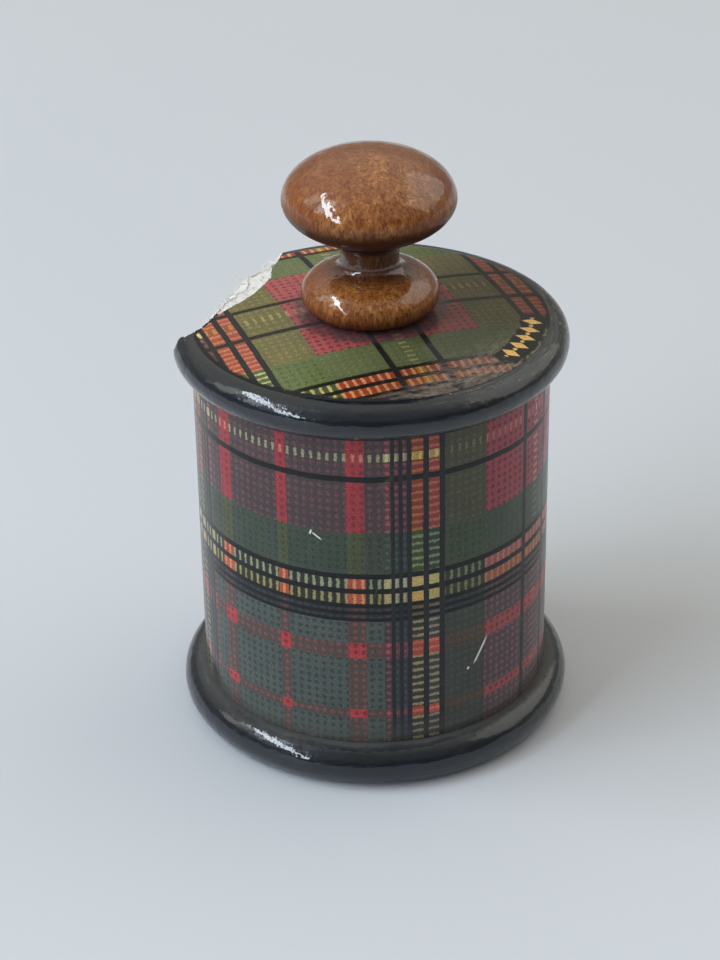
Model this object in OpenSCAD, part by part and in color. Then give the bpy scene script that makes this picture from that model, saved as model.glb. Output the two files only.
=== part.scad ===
// Turned wooden bobbin box: a papered barrel between two ebonised discs, with a knobbed lid
// that lifts off, and a reel of thread on a peg inside. The origin is the centre of the
// underside and +Z is up. All sizes are in millimetres.

/* [Base disc] */
// Diameter of the base disc over its rounded edge
base_d = 43; // [41:0.5:46]
// Thickness of the base disc at its edge
base_t = 4.6; // [3.8:0.1:6]
// Height of the raised boss that locates the barrel
boss_h = 2.4; // [1.5:0.1:3]

/* [Barrel] */
// Diameter of the barrel over its paper
barrel_d = 38; // [36:0.5:39]
// Height of the barrel between the two discs
barrel_h = 36.9; // [33:0.1:45]
// Thickness of the turned wooden wall, without the paper
wall_t = 1.85; // [1.5:0.05:2.2]

/* [Lid] */
// Diameter of the lid disc over its rounded edge
lid_d = 42; // [40:0.5:45]
// Thickness of the lid disc at its edge
lid_t = 4.1; // [3.4:0.1:5.5]
// How far the middle of the lid rises above its edge
lid_rise = 1.2; // [0.4:0.1:2]
// Depth of the plug that drops into the barrel
plug_h = 3; // [2:0.1:3.4]
// Gap all round between the plug and the barrel
plug_gap = 0.15; // [0.1:0.05:0.4]

/* [Knob] */
// Diameter of the knob's head
head_d = 18.2; // [14:0.1:20]
// Height of the head above its widest line
head_up = 5.1; // [4:0.1:6]
// Depth of the head below its widest line
head_down = 4.4; // [3.4:0.1:4.6]
// Height of the head's widest line above the top of the lid
head_lift = 12.4; // [12:0.1:14]
// Diameter of the knob's neck at its narrowest
neck_d = 6.2; // [5:0.1:7]
// Diameter of the knob's foot
foot_d = 14.6; // [13:0.1:16]
// Thickness of the foot's rounded edge
foot_t = 4.6; // [4:0.1:5]
// Diameter of the tenon that runs down through the lid
tenon_d = 5; // [4:0.1:5.4]

/* [Reel] */
// Diameter of the reel's two flanges
reel_d = 25; // [22:0.5:25]
// Height of the reel
reel_h = 25.4; // [22:0.1:26]
// Diameter of the wound thread
thread_d = 21; // [16:0.5:22]
// Diameter of the peg that the reel turns on
peg_d = 6; // [4:0.1:6.5]
// Running gap all round between the peg and the reel
peg_gap = 0.05; // [0.02:0.01:0.1]

/* [Paper] */
// Thickness of the printed paper
paper_t = 0.15; // [0.1:0.01:0.2]

/* [Hidden] */
$fn = 96;

glue_gap = 0.02;
eps = 0.5;

// Base disc: the rounded edge is half an ellipse, and the underside has a paper recess.
base_edge = 2.1;
base_paper_r = 17.5;
boss_r = barrel_d / 2 - paper_t - wall_t - glue_gap;
floor_z = base_t + boss_h;
lining_t = 0.2;
lining_r = boss_r - 0.3;
lining_hole_r = peg_d / 2 + 0.3;

// Barrel: a straight tube that stands on the base disc around the boss.
barrel_r = barrel_d / 2 - paper_t;
bore_r = barrel_r - wall_t;
barrel_top = base_t + barrel_h;
mouth_chamfer = 0.4;
paper_inset = 0.1;

// Peg: stands in a blind socket in the base disc and stops below the reel's top.
socket_z = 1.6;
peg_short = 3;
peg_top = floor_z + lining_t + reel_h - peg_short;
peg_chamfer = 0.6;

// Lid disc: half an ellipse for the edge, and a shallow dome over the middle.
lid_r = lid_d / 2;
lid_edge = 2.2;
crown_r = lid_r - lid_edge;
lid_top = barrel_top + lid_t;
plug_r = bore_r - plug_gap;
plug_chamfer = 0.4;
lid_hole_r = tenon_d / 2 + glue_gap;

// Missing piece of the lid, as two torn lines from the left edge round to the back edge.
// The paper tore along the inner line. The wood gave way along the outer one, which runs
// outward as it goes down, so that the break slopes.
paper_tear = [
    [-23, -6.8], [-19.5, -4.6], [-17.3, -2.2], [-16.2, 0], [-15, 1.6], [-13.6, 3],
    [-12.4, 4.8], [-11.6, 6.5], [-10.7, 8.9], [-10.7, 11.9], [-10.2, 13.4], [-9.6, 16],
    [-8.6, 23]
];
wood_tear = [
    [-23, -6.2], [-20, -3.8], [-17.8, -2], [-16.6, 0.2], [-15.8, 2.4], [-14.9, 4.5],
    [-14.3, 6.2], [-13.4, 7.8], [-13, 9.4], [-12.1, 10.9], [-11, 12.4], [-9.9, 15.8],
    [-9, 23]
];
tear_out = 1.8;
tear_far = 46;
tear_y = -7;

// Knob: heights are measured from the top of the lid's paper in the middle.
knob_z = lid_top + lid_rise + paper_t;
head_z = knob_z + head_lift;
foot_down = 1.9;
foot_z = knob_z + foot_down;
foot_core_r = 3;
foot_seat_r = 4.4;
foot_low_r = 1.6;
foot_low_h = 1.75;
neck_lift = 5.6;
neck_len = 0.7;
neck_z = knob_z + neck_lift;
cove_r = 1.9;
low_cove_h = 1.25;
high_cove_h = head_lift - head_down - neck_lift - neck_len + 0.6;

// Reel: its two flanges have a sloping inner face, and the thread fills the waist.
reel_gap = 0.05;
reel_z = floor_z + lining_t + reel_gap;
reel_core_r = 5.2;
flange_rim = 1.6;
flange_t = 3.4;
reel_chamfer = 0.4;
label_t = 0.12;
label_r = 10.2;
label_hole_r = peg_d / 2 + 0.4;
thread_gap = 0.3;

// Points of an elliptical arc about [cx, cz], with half-axes a and b, in n steps.
function arc(cx, cz, a, b, from, to, n) =
    [for (i = [0 : n]) let (t = from + (to - from) * i / n) [cx + a * cos(t), cz + b * sin(t)]];

// Height of the lid's wooden top at radius r.
function crown(r) = lid_top + lid_rise * (1 - pow(r / crown_r, 2));

// Points along the crown from radius r0 to radius r1, lifted by up. The first may be left out.
function crown_line(r0, r1, up, n, first = 0) =
    [for (i = [first : n]) let (r = r0 + (r1 - r0) * i / n) [r, crown(r) + up]];

// A turned solid: the outline is a list of [radius, height] points.
module turned(outline) {
    rotate_extrude()
        polygon(outline);
}

// A ring between two radii, standing on height z.
module ring(outer_r, inner_r, z, h) {
    translate([0, 0, z])
        difference() {
            cylinder(r = outer_r, h = h);
            translate([0, 0, -eps])
                cylinder(r = inner_r, h = h + 2 * eps);
        }
}

// The piece that is missing from the lid, outside a torn line. Its foot is moved outward
// by slope, away from the middle of the lid.
module missing_piece(line, slope, z0, z1) {
    n = len(line);
    foot = [for (p = line) p * (1 + slope / norm(p))];
    far = [[-tear_far, tear_far], [-tear_far, tear_y]];
    top = concat(line, far);
    low = concat(foot, far);
    m = n + 2;
    points = concat([for (p = low) [p.x, p.y, z0]], [for (p = top) [p.x, p.y, z1]]);
    sides = [for (i = [0 : m - 1]) let (j = (i + 1) % m) each [[i, i + m, j], [j, i + m, j + m]]];
    low_face = [for (i = [0 : m - 1]) i];
    top_face = [for (i = [0 : m - 1]) 2 * m - 1 - i];
    polyhedron(points = points, faces = concat([low_face], sides, [top_face]));
}

module base_disc() {
    color([0.13, 0.14, 0.14])
        difference() {
            turned(concat(
                [[0, 0]],
                arc(base_d / 2 - base_edge, base_t / 2, base_edge, base_t / 2, -90, 90, 20),
                [[boss_r, base_t], [boss_r, floor_z], [0, floor_z]]
            ));
            translate([0, 0, -eps])
                cylinder(r = base_paper_r + glue_gap, h = paper_t + eps);
            translate([0, 0, socket_z])
                cylinder(d = peg_d + 2 * glue_gap, h = floor_z);
        }
}

module base_paper() {
    color([0.28, 0.3, 0.26])
        cylinder(r = base_paper_r, h = paper_t);
}

module barrel() {
    color([0.8, 0.68, 0.48])
        turned([
            [bore_r, base_t],
            [barrel_r, base_t],
            [barrel_r, barrel_top],
            [bore_r + mouth_chamfer, barrel_top],
            [bore_r, barrel_top - mouth_chamfer]
        ]);
}

module barrel_paper() {
    color([0.28, 0.3, 0.26])
        ring(barrel_d / 2, barrel_r, base_t + paper_inset, barrel_h - 2 * paper_inset);
}

module floor_lining() {
    color([0.3, 0.08, 0.1])
        ring(lining_r, lining_hole_r, floor_z, lining_t);
}

module spindle() {
    color([0.78, 0.6, 0.38])
        turned([
            [0, socket_z],
            [peg_d / 2, socket_z],
            [peg_d / 2, peg_top - peg_chamfer],
            [peg_d / 2 - peg_chamfer, peg_top],
            [0, peg_top]
        ]);
}

module lid_disc() {
    color([0.13, 0.14, 0.14])
        difference() {
            turned(concat(
                [[lid_hole_r, barrel_top]],
                arc(crown_r, barrel_top + lid_t / 2, lid_edge, lid_t / 2, -90, 90, 20),
                crown_line(crown_r, lid_hole_r, 0, 16, 1)
            ));
            missing_piece(wood_tear, tear_out, barrel_top - eps, lid_top + lid_rise);
        }
}

module lid_plug() {
    color([0.8, 0.68, 0.48])
        turned([
            [lid_hole_r, barrel_top - plug_h],
            [plug_r - plug_chamfer, barrel_top - plug_h],
            [plug_r, barrel_top - plug_h + plug_chamfer],
            [plug_r, barrel_top],
            [lid_hole_r, barrel_top]
        ]);
}

module lid_paper() {
    color([0.3, 0.32, 0.22])
        difference() {
            turned(concat(
                crown_line(lid_hole_r, crown_r, 0, 16),
                crown_line(crown_r, lid_hole_r, paper_t, 16)
            ));
            missing_piece(paper_tear, 0, lid_top - eps, knob_z + eps);
        }
}

module knob() {
    neck_r = neck_d / 2;
    head_r = head_d / 2;
    foot_r = foot_d / 2;
    color([0.5, 0.25, 0.1])
        turned(concat(
            [[0, barrel_top - plug_h], [tenon_d / 2, barrel_top - plug_h]],
            [[tenon_d / 2, crown(tenon_d / 2) + paper_t]],
            crown_line(tenon_d / 2 + 0.1, foot_seat_r, paper_t, 4),
            arc(foot_r - foot_low_r, foot_z, foot_low_r, foot_low_h, -80, 0, 10),
            arc(foot_core_r, foot_z, foot_r - foot_core_r, foot_t - foot_down, 5, 70, 14),
            arc(neck_r + cove_r, neck_z, cove_r, low_cove_h, 240, 180, 8),
            arc(neck_r + cove_r, neck_z + neck_len, cove_r, high_cove_h, 180, 105, 10),
            arc(0, head_z, head_r, head_down, -57, 0, 14),
            arc(0, head_z, head_r, head_up, 4, 90, 18)
        ));
}

module reel() {
    reel_r = reel_d / 2;
    reel_bore_r = peg_d / 2 + peg_gap;
    low = label_t;
    high = reel_h - label_t;
    color([0.72, 0.5, 0.28])
        translate([0, 0, reel_z])
            turned([
                [reel_bore_r, low],
                [reel_r - reel_chamfer, low],
                [reel_r, low + reel_chamfer],
                [reel_r, flange_rim],
                [reel_core_r, flange_rim + flange_t],
                [reel_core_r, reel_h - flange_rim - flange_t],
                [reel_r, reel_h - flange_rim],
                [reel_r, high - reel_chamfer],
                [reel_r - reel_chamfer, high],
                [reel_bore_r, high]
            ]);
}

module thread() {
    slope = flange_t / (reel_d / 2 - reel_core_r);
    low = flange_rim + slope * (reel_d / 2 - thread_d / 2) + thread_gap;
    inner_r = reel_core_r + glue_gap;
    foot = flange_rim + flange_t + thread_gap;
    color([0.75, 0.12, 0.15])
        translate([0, 0, reel_z])
            turned([
                [inner_r, foot],
                [thread_d / 2, low],
                [thread_d / 2, reel_h - low],
                [inner_r, reel_h - foot]
            ]);
}

module reel_label_top() {
    color([0.86, 0.82, 0.7])
        ring(label_r, label_hole_r, reel_z + reel_h - label_t, label_t);
}

module reel_label_bottom() {
    color([0.86, 0.82, 0.7])
        ring(label_r, label_hole_r, reel_z, label_t);
}

base_disc();
base_paper();
barrel();
barrel_paper();
floor_lining();
spindle();
lid_disc();
lid_plug();
lid_paper();
knob();
reel();
thread();
reel_label_top();
reel_label_bottom();
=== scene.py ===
import math
import random
from collections import namedtuple

import bmesh
import bpy
from mathutils import Matrix, Quaternion, Vector, noise


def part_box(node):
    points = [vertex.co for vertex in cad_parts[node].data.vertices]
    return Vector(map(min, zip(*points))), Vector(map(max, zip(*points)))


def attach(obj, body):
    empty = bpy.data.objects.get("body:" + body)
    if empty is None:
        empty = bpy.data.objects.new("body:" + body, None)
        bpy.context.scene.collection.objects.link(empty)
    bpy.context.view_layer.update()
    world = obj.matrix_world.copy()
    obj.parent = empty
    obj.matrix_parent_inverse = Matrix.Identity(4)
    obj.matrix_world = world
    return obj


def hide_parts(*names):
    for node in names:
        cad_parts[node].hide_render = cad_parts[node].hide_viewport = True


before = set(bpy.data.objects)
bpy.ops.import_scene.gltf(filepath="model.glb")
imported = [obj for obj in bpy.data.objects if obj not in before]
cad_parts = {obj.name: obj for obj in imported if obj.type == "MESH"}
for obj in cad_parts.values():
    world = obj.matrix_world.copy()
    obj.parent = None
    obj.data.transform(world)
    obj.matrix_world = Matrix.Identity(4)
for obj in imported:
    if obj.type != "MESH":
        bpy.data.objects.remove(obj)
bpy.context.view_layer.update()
MM = 0.001


# -------------------- sizes, in mm
def span(node):
    """The node's lowest and highest corners in mm."""
    lo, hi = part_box(node)
    return lo / MM, hi / MM


base_hi = span("base_disc")[1]
barrel_lo = span("barrel")[0]
paper_lo, paper_hi = span("barrel_paper")
lid_lo, lid_hi = span("lid_disc")
knob_lo, knob_hi = span("knob")
reel_lo, reel_hi = span("reel")
thread_lo, thread_hi = span("thread")

# What the nodes' boxes give is taken from them. The other sizes are the CAD source's.
PAPER_T = 0.15

BASE_R, BASE_T, FLOOR_Z = base_hi.x, barrel_lo.z, base_hi.z
BASE_EDGE = 2.1
BOSS_R = 16.98
RECESS_R = 17.52
SOCKET_R, SOCKET_Z = 3.02, 1.6

BARREL_R = paper_hi.x

LID_R, LID_Z, LID_T, LID_RISE = lid_hi.x, lid_lo.z, 4.1, 1.2
LID_EDGE = 2.2
LID_TOP = LID_Z + LID_T
CROWN_R = LID_R - LID_EDGE
HOLE_R = 2.52

HEAD_R = knob_hi.x
KNOB_Z = LID_TOP + LID_RISE + PAPER_T
TENON_R = 2.5

REEL_R = reel_hi.x
REEL_BORE, REEL_CORE, FLANGE_T = 3.05, 5.2, 3.4

# The two torn lines of the broken lid, as in the CAD source.
PAPER_TEAR = [
    (-23, -6.8), (-19.5, -4.6), (-17.3, -2.2), (-16.2, 0), (-15, 1.6), (-13.6, 3),
    (-12.4, 4.8), (-11.6, 6.5), (-10.7, 8.9), (-10.7, 11.9), (-10.2, 13.4), (-9.6, 16),
    (-8.6, 23),
]
WOOD_TEAR = [
    (-23, -6.2), (-20, -3.8), (-17.8, -2), (-16.6, 0.2), (-15.8, 2.4), (-14.9, 4.5),
    (-14.3, 6.2), (-13.4, 7.8), (-13, 9.4), (-12.1, 10.9), (-11, 12.4), (-9.9, 15.8),
    (-9, 23),
]
# How much further out the wood still reaches at the lid's underside than at its top.
TEAR_OUT = 1.8
# The way the lid's grain runs, as an angle from +X towards +Y.
GRAIN = math.radians(64)


# -------------------- mesh helpers
def piece(name, bm, body, mats, sharp=38, stands_for=()):
    """Finishes a mesh as a piece that rides on a body."""
    bmesh.ops.remove_doubles(bm, verts=bm.verts, dist=2e-7)
    bmesh.ops.dissolve_degenerate(bm, edges=bm.edges, dist=2e-7)
    bmesh.ops.recalc_face_normals(bm, faces=bm.faces)
    me = bpy.data.meshes.new(name)
    bm.to_mesh(me)
    bm.free()
    me.shade_smooth()
    me.set_sharp_from_angle(angle=math.radians(sharp))
    ob = bpy.data.objects.new(name, me)
    bpy.context.scene.collection.objects.link(ob)
    for m in mats:
        me.materials.append(m)
    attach(ob, body)
    if stands_for:
        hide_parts(*stands_for)
    return ob


def arc(cx, cz, a, b, start, end, n):
    """Points of an elliptical arc about (cx, cz), from one angle in degrees to another."""
    steps = [math.radians(start + (end - start) * i / n) for i in range(n + 1)]
    return [(cx + a * math.cos(t), cz + b * math.sin(t)) for t in steps]


def line(p, q, n):
    """The ends of n equal steps from p to q."""
    return [(p[0] + (q[0] - p[0]) * i / n, p[1] + (q[1] - p[1]) * i / n) for i in range(n + 1)]


def turned(outline, columns, shape=None):
    """A lathe mesh from (radius, height) points in mm. columns is a count or a list of angles.

    shape(radius, height, angle, row) gives a point's real radius and height.
    """
    angles = columns
    if isinstance(columns, int):
        angles = [2 * math.pi * j / columns for j in range(columns)]
    bm = bmesh.new()
    rings = []
    for i, (r, z) in enumerate(outline):
        if r < 1e-6:
            rings.append([bm.verts.new((0, 0, z * MM))] * len(angles))
            continue
        ring = []
        for a in angles:
            rr, zz = shape(r, z, a, i) if shape else (r, z)
            ring.append(bm.verts.new((rr * math.cos(a) * MM, rr * math.sin(a) * MM, zz * MM)))
        rings.append(ring)
    pairs = list(zip(rings, rings[1:] + rings[:1]))
    for low, high in pairs:
        for j in range(len(angles)):
            k = (j + 1) % len(angles)
            # On the axis a ring is one vertex, so its faces have three corners or none.
            corners = list(dict.fromkeys([low[j], low[k], high[k], high[j]]))
            if len(corners) > 2:
                bm.faces.new(corners)
    return bm


def crown(r):
    """Height of the lid's wooden top at radius r."""
    return LID_TOP + LID_RISE * (1 - (r / CROWN_R) ** 2)


def reach(torn, a):
    """Distance from the lid's axis to a torn line in direction a, or infinity."""
    c, s = math.cos(a), math.sin(a)
    best = math.inf
    for (x0, y0), (x1, y1) in zip(torn, torn[1:]):
        dx, dy = x1 - x0, y1 - y0
        across = dx * s - dy * c
        if abs(across) < 1e-9:
            continue
        t = -(x0 * s - y0 * c) / across
        r = (x0 + t * dx) * c + (y0 + t * dy) * s
        if -1e-6 <= t <= 1 + 1e-6 and 0 < r < best:
            best = r
    return best


def rough(x, y, z, seed=0.0):
    """Smooth noise from about -1 to 1."""
    return noise.noise(Vector((x, y, z + seed)))


def polar(face):
    """The radius, the angle and the height of a face's middle, in mm and radians."""
    c = face.calc_center_median() / MM
    return math.hypot(c.x, c.y), math.atan2(c.y, c.x) % (2 * math.pi), c.z


# -------------------- node helpers
# Position in mm as a vector and its three parts, the angle round the axis, and the radius.
Place = namedtuple("Place", "p x y z turn out")


class Tree:
    """Builds a shader tree. Every input may be a number, a tuple or another node's socket."""

    def __init__(self, tree):
        self.t = tree

    def put(self, socket, value):
        if value is None:
            return
        if isinstance(value, bpy.types.NodeSocket):
            self.t.links.new(value, socket)
        elif isinstance(value, (tuple, list)):
            want = len(socket.default_value)
            socket.default_value = tuple(value)[:want] + (1.0,) * (want - len(value))
        else:
            socket.default_value = value

    def new(self, kind, **props):
        node = self.t.nodes.new("ShaderNode" + kind)
        for k, v in props.items():
            setattr(node, k, v)
        return node

    def fed(self, kind, inputs, **props):
        """The outputs of a new node. inputs holds values in order, or by socket number or name."""
        node = self.new(kind, **props)
        if not isinstance(inputs, dict):
            inputs = dict(enumerate(inputs))
        for socket, value in inputs.items():
            self.put(node.inputs[socket], value)
        return node.outputs

    def math(self, op, a, b=None):
        return self.fed("Math", (a, b), operation=op)[0]

    def compare(self, a, b, within):
        return self.fed("Math", (a, b, within), operation="COMPARE")[0]

    def add(self, a, b):
        return self.math("ADD", a, b)

    def sub(self, a, b):
        return self.math("SUBTRACT", a, b)

    def mul(self, a, b):
        return self.math("MULTIPLY", a, b)

    def abs(self, a):
        return self.math("ABSOLUTE", a)

    def max(self, a, b):
        return self.math("MAXIMUM", a, b)

    def wide(self, a, lo, hi, out_lo=0.0, out_hi=1.0):
        """Maps a from lo..hi to out_lo..out_hi, clamped and eased at both ends."""
        return self.fed("MapRange", (a, lo, hi, out_lo, out_hi), interpolation_type="SMOOTHSTEP")[0]

    def mix(self, f, a, b, how="MIX"):
        """Colours a and b, mixed by f."""
        return self.fed("Mix", {0: f, 6: a, 7: b}, data_type="RGBA", blend_type=how)[2]

    def blend(self, f, a, b):
        """Numbers a and b, mixed by f."""
        return self.fed("Mix", {0: f, 2: a, 3: b}, data_type="FLOAT")[0]

    def join(self, x, y, z):
        return self.fed("CombineXYZ", (x, y, z))[0]

    def noise(self, v, scale, detail=3.0, roughness=0.55, distortion=0.0):
        inputs = {"Vector": v, "Scale": scale, "Detail": detail}
        inputs.update({"Roughness": roughness, "Distortion": distortion})
        return self.fed("TexNoise", inputs)[0]

    def sway(self, amount, v, scale, detail=3.0, roughness=0.55):
        """Noise spread about zero, times an amount."""
        return self.mul(self.sub(self.noise(v, scale, detail, roughness), 0.5), amount)

    def cells(self, v, scale):
        return self.fed("TexVoronoi", {"Vector": v, "Scale": scale})["Distance"]

    def ramp(self, f, stops, how="LINEAR"):
        """stops are (place, colour), in order."""
        n = self.new("ValToRGB")
        n.color_ramp.interpolation = how
        marks = n.color_ramp.elements
        while len(marks) > 1:
            marks.remove(marks[-1])
        for i, (place, colour) in enumerate(stops):
            mark = marks[0] if i == 0 else marks.new(place)
            mark.position = place
            mark.color = tuple(colour)[:3] + (1.0,)
        self.put(n.inputs[0], f)
        return n.outputs[0]

    def bump(self, height, distance, strength=1.0):
        """distance is how many metres one unit of height stands for."""
        return self.fed("Bump", {"Strength": strength, "Distance": distance, "Height": height})[0]

    def group(self, tree, *values):
        """The outputs of a node group that is fed these values."""
        return self.fed("Group", values, node_tree=tree)

    def place(self):
        """Where the shaded point is on the object. turn is 0 at the front and grows to the right."""
        where = self.new("TexCoord").outputs["Object"]
        p = self.fed("VectorMath", (where, (1 / MM,) * 3), operation="MULTIPLY")[0]
        x, y, z = self.fed("SeparateXYZ", (p,))
        turn = self.math("ARCTAN2", x, self.mul(y, -1.0))
        out = self.math("SQRT", self.add(self.mul(x, x), self.mul(y, y)))
        return Place(p, x, y, z, turn, out)


def material(name):
    m = bpy.data.materials.new(name)
    m.use_nodes = True
    m.node_tree.nodes.clear()
    return m, Tree(m.node_tree)


def shade(t, **inputs):
    """The Principled shader and the output. Keys are socket names with _ for spaces."""
    shader = t.fed("BsdfPrincipled", {k.replace("_", " "): v for k, v in inputs.items()})[0]
    t.fed("OutputMaterial", (shader,))


def ink(code):
    """A hex colour as linear light."""
    parts = [int(code[i:i + 2], 16) / 255 for i in (0, 2, 4)]
    flat = [c / 12.92 if c <= 0.04045 else ((c + 0.055) / 1.055) ** 2.4 for c in parts]
    return tuple(flat)


# -------------------- the tartan
# Half of the repeat, from one mirror line to the next: ink and width in mm.
SETT = [
    ("dash", 0.45), ("crimson", 1.7), ("black", 0.65), ("crimson", 5.9), ("green", 4.95),
    ("black", 0.62), ("pale", 1.15), ("black", 0.62), ("gold", 1.2), ("black", 0.5),
    ("line", 0.42), ("black", 0.42), ("line", 0.42), ("black", 0.42), ("rose", 0.75),
    ("slate", 1.9), ("red", 1.9), ("slate", 6.45), ("red", 0.57),
]
HALF = sum(w for _, w in SETT)
PITCH = 0.86

# Ink that shows where an upright stripe (row) meets a level one (column), and the small
# printed flecks on it.
GROUND = """
        dash   crimson black  green  pale   gold   line   rose   slate  red
dash    8c4248 8e4349  0d0f12 404c42 90544c 945c44 4a3a3c 504246 504246 96464a
crimson 9a464e 96434c  0d0f12 3e4a40 9a5850 9a5a48 4a3a3c 504246 504246 a04a4e
green   464839 464839  0c0f10 3f4d3b 303630 32382c 2a3030 3c403a 3c403a 4a4138
pale    a89054 84403c  0e1012 363e34 b4a870 b0a064 54504a 403e38 403e38 b05048
gold    b09048 7c3c34  0e1010 3c4a30 b8a468 c8a05c 544c38 35352c 35352c a24638
line    827c60 4c3036  0b0d10 2c3a38 8a8874 8a846c 202428 2e3338 2e3338 5c3840
rose    a09870 5c3c40  0e1012 3a463a a89c70 a89464 302c30 443638 443638 6a3a3e
slate   463c3e 463c3e  0c0f12 3d473d 2a2c2a 2c2b24 24282b 4b5450 4b5450 504440
red     9e383c 9e383c  101214 4a5038 a84a3a b05440 443236 504440 504440 b03c40
"""
FLECK = """
        dash   crimson black  green  pale   gold   line   rose   slate  red
dash    c8a090 b08878  16181a 6a6c56 b88070 c08c68 584648 7c6462 7c6462 b4645c
crimson a86c68 5a2e38  16181a 46523f b47870 b87a5c 584648 7c545c 7c545c 66303a
green   6c6a50 56543e  121618 324030 78805e 7e7c50 343a3a 464c46 464c46 5a483c
pale    ccb878 b86450  16181a 76866a b4a870 b0a064 68645a 948c78 948c78 d0705c
gold    d0b060 b8643c  16181a 7e8a5c b8a468 c8a05c 685e44 9a8e6a 9a8e6a c26a54
line    a8a48c 784a50  101216 40504a a8a48c a8a080 2c3034 40464c 40464c 7c4a52
rose    c8c090 9c545a  121416 4c5a4c b4a884 b8a870 3e3a3e 7c5054 7c5054 b45660
slate   9a9878 6e464a  121416 2f3b31 949878 9a9260 30363a 343a3a 343a3a 7c4a4c
red     c87a6c 7a2a34  181a1c 3c4030 d88a68 d89058 5c3c40 804c4a 804c4a 7a2630
"""
# The lid's light stripes are brighter where they cross the crimson and the mirror line's dashes.
# Each pair is the ground and the flecks.
LID_BRIGHT = {
    ("crimson", "pale"): ("ac462c", "e4ac78"), ("crimson", "gold"): ("b04a2c", "e8aa6c"),
    ("pale", "crimson"): ("b45844", "d6846a"), ("gold", "crimson"): ("b4563e", "da885e"),
    ("pale", "dash"): ("a8603c", "d09048"), ("gold", "dash"): ("a8603c", "d09850"),
    ("dash", "pale"): ("c08038", "e8b860"), ("dash", "gold"): ("c88c3c", "ecbc5c"),
}


def inks(table, aged):
    """The table as linear colours. aged is the gain that varnish gives the greens and the reds."""
    rows = [r.split() for r in table.strip().splitlines()]
    made = {}
    for name, *codes in rows[1:]:
        made[name] = {}
        for k, code in zip(rows[0], codes):
            c = ink(code)
            green = min(1.0, max(0.0, (c[1] / c[0] - 0.55) / 0.3))
            made[name][k] = tuple(v * (green * g + (1 - green) * r) for v, g, r in zip(c, *aged))
    return made


def node_group(name, given, made):
    """An empty node group: itself, its tree, and the sockets at its two ends.

    given names its inputs, all floats, and made gives its outputs as (name, type).
    """
    g = bpy.data.node_groups.new(name, "ShaderNodeTree")
    for socket in given:
        g.interface.new_socket(socket, in_out="INPUT", socket_type="NodeSocketFloat")
    for socket, kind in made:
        g.interface.new_socket(socket, in_out="OUTPUT", socket_type="NodeSocket" + kind)
    start = g.nodes.new("NodeGroupInput")
    end = g.nodes.new("NodeGroupOutput")
    return g, Tree(g), start.outputs, end.inputs


def sett_group():
    """Which stripe of the sett is at a distance in mm from a mirror line: (number + 0.5) / count."""
    g, t, given, made = node_group("sett", ["Distance"], [("Stripe", "Float")])
    d = t.math("PINGPONG", given[0], HALF)
    number, edge = 0.5, 0.0
    for _, width in SETT[:-1]:
        edge += width
        number = t.add(number, t.math("GREATER_THAN", d, edge))
    t.put(made[0], t.math("DIVIDE", number, float(len(SETT))))
    return g


def fleck_fields(t, a, d):
    """The short bars across upright stripes, those across level ones, and the rows of dots."""
    wave = 2 * math.pi / PITCH
    jog_a = t.sway(2.4, t.join(a, d, 0.0), 2.6, 2.0)
    jog_d = t.sway(2.4, t.join(d, a, 7.0), 2.6, 2.0)
    size = t.sway(1.5, t.join(a, d, 4.0), 1.9, 3.0, 0.65)
    ca = t.add(t.math("COSINE", t.add(t.mul(a, wave), jog_a)), size)
    cd = t.add(t.math("COSINE", t.add(t.mul(d, wave), jog_d)), size)
    lean = t.math("COSINE", t.add(t.mul(t.add(a, d), wave / 2), jog_a))
    back = t.math("COSINE", t.add(t.mul(t.sub(a, d), wave / 2), jog_d))
    woven = t.wide(t.add(t.mul(lean, back), size), 0.05, 0.7)
    dots = t.max(t.wide(t.add(ca, cd), 0.45, 1.5), t.mul(woven, 0.75))
    return t.wide(cd, 0.0, 0.85), t.wide(ca, 0.05, 0.8), dots


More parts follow.
